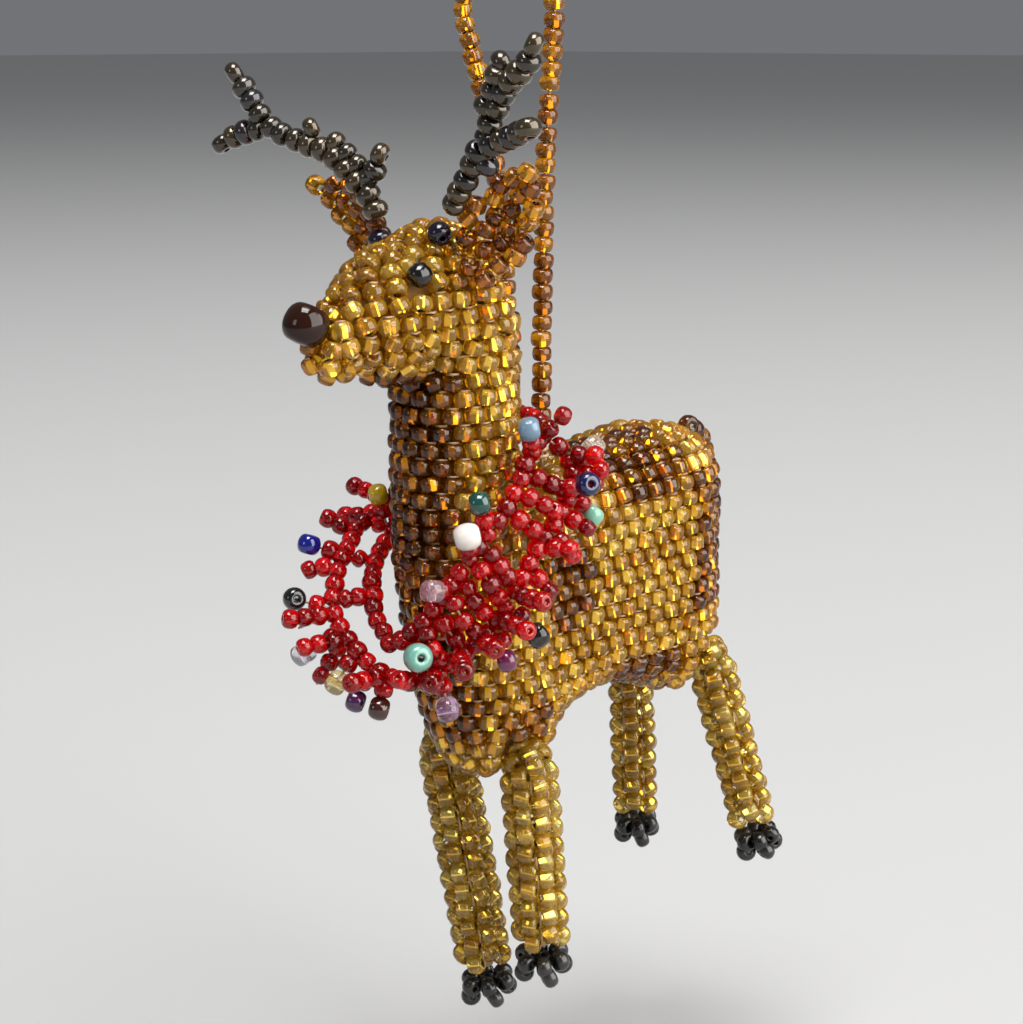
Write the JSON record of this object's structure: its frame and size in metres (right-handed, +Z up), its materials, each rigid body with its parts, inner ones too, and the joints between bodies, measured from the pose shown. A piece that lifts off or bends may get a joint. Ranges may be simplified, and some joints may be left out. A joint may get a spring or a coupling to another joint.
{
  "type": "beaded reindeer ornament",
  "caption": "Hanging reindeer ornament hand-stitched from glass seed beads, with antlers, cupped ears, flexing legs, a loose netted garland and a beaded hanging loop.",
  "frame": {"origin": "inside the top of the hanging loop, where a hook bears", "axes": "-X the way the animal faces, +Y its right side, +Z up along the hanging loop"},
  "size_m": [0.0604, 0.0442, 0.1106],
  "materials": {
    "gold_beads": "gloss",
    "pale_gold_beads": "gloss",
    "brown_beads": "gloss",
    "amber_beads": "gloss",
    "iris_beads": "gloss",
    "black_beads": "gloss",
    "red_beads": "gloss",
    "nose_glass": "gloss",
    "stuffing": "matte",
    "thread": "matte",
    "accent_pale_blue": "gloss",
    "accent_clear_rear": "gloss",
    "accent_navy": "gloss",
    "accent_mint_flat": "gloss",
    "accent_teal": "gloss",
    "accent_yellow": "gloss",
    "accent_pearl": "gloss",
    "accent_cobalt": "gloss",
    "accent_lilac": "gloss",
    "accent_black": "gloss",
    "accent_grey": "gloss",
    "accent_plum": "gloss",
    "accent_clear_front": "gloss",
    "accent_turquoise": "gloss",
    "accent_clear_gold": "gloss",
    "accent_dark_brown": "gloss",
    "accent_lilac_low": "gloss",
    "accent_dark_purple": "gloss"
  },
  "bodies": {
    "loop": {"hanging_loop": "amber_beads"},
    "animal": {"trunk_bead_skin": "gold_beads", "neck_bead_skin": "gold_beads", "head_bead_skin": "gold_beads", "stuffing_core": "stuffing", "left_eye": "black_beads", "right_eye": "black_beads", "nose_bead": "nose_glass", "right_antler": "iris_beads", "left_antler": "iris_beads", "right_antler_root_bead": "black_beads", "left_antler_root_bead": "black_beads", "tail": "brown_beads", "left_loop_anchor": "thread", "right_loop_anchor": "thread"},
    "garland": {"garland_netting": "red_beads", "garland_bead_pale_blue": "accent_pale_blue", "garland_bead_clear_rear": "accent_clear_rear", "garland_bead_navy": "accent_navy", "garland_bead_mint_flat": "accent_mint_flat", "garland_bead_teal": "accent_teal", "garland_bead_yellow": "accent_yellow", "garland_bead_pearl": "accent_pearl", "garland_bead_cobalt": "accent_cobalt", "garland_bead_lilac": "accent_lilac", "garland_bead_black": "accent_black", "garland_bead_grey": "accent_grey", "garland_bead_plum": "accent_plum", "garland_bead_clear_front": "accent_clear_front", "garland_bead_turquoise": "accent_turquoise", "garland_bead_clear_gold": "accent_clear_gold", "garland_bead_dark_brown": "accent_dark_brown", "garland_bead_lilac_low": "accent_lilac_low", "garland_bead_dark_purple": "accent_dark_purple"},
    "right_front_leg_body": {"right_front_leg": "pale_gold_beads", "right_front_hoof": "black_beads"},
    "left_front_leg_body": {"left_front_leg": "pale_gold_beads", "left_front_hoof": "black_beads"},
    "right_rear_leg_body": {"right_rear_leg": "pale_gold_beads", "right_rear_hoof": "black_beads"},
    "left_rear_leg_body": {"left_rear_leg": "pale_gold_beads", "left_rear_hoof": "black_beads"},
    "right_ear_body": {"right_ear": "amber_beads"},
    "left_ear_body": {"left_ear": "amber_beads"}
  },
  "joints": [
    {"name": "hanger_rock", "type": "hinge", "parent": "loop", "child": "animal", "pos_m": [0.00039, -0.0026, -0.0462], "axis": [0, 1, 0], "range_deg": [-20, 6]},
    {"name": "garland_turn", "type": "hinge", "parent": "animal", "child": "garland", "pos_m": [-0.0106, -0.0026, -0.0576], "axis": [0, 0, 1], "range_deg": [-4, 12]},
    {"name": "right_front_leg_flex", "type": "hinge", "parent": "animal", "child": "right_front_leg_body", "pos_m": [-0.0066, 0.0032, -0.0793], "axis": [0, 1, 0], "range_deg": [-12, 12], "stiffness_Nm_per_rad": 0.004},
    {"name": "left_front_leg_flex", "type": "hinge", "parent": "animal", "child": "left_front_leg_body", "pos_m": [-0.0057, -0.0078, -0.079], "axis": [0, 1, 0], "range_deg": [-12, 12], "stiffness_Nm_per_rad": 0.004},
    {"name": "right_rear_leg_flex", "type": "hinge", "parent": "animal", "child": "right_rear_leg_body", "pos_m": [0.0212, 0.003, -0.075], "axis": [0, 1, 0], "range_deg": [-12, 12], "stiffness_Nm_per_rad": 0.004},
    {"name": "left_rear_leg_flex", "type": "hinge", "parent": "animal", "child": "left_rear_leg_body", "pos_m": [0.0212, -0.0086, -0.0736], "axis": [0, 1, 0], "range_deg": [-12, 12], "stiffness_Nm_per_rad": 0.004},
    {"name": "right_ear_flex", "type": "hinge", "parent": "animal", "child": "right_ear_body", "pos_m": [-0.0128, 0.0039, -0.0279], "axis": [1, 0, 0], "range_deg": [-12, 12], "stiffness_Nm_per_rad": 0.001},
    {"name": "left_ear_flex", "type": "hinge", "parent": "animal", "child": "left_ear_body", "pos_m": [-0.0128, -0.0091, -0.0279], "axis": [1, 0, 0], "range_deg": [-12, 12], "stiffness_Nm_per_rad": 0.001}
  ]
}
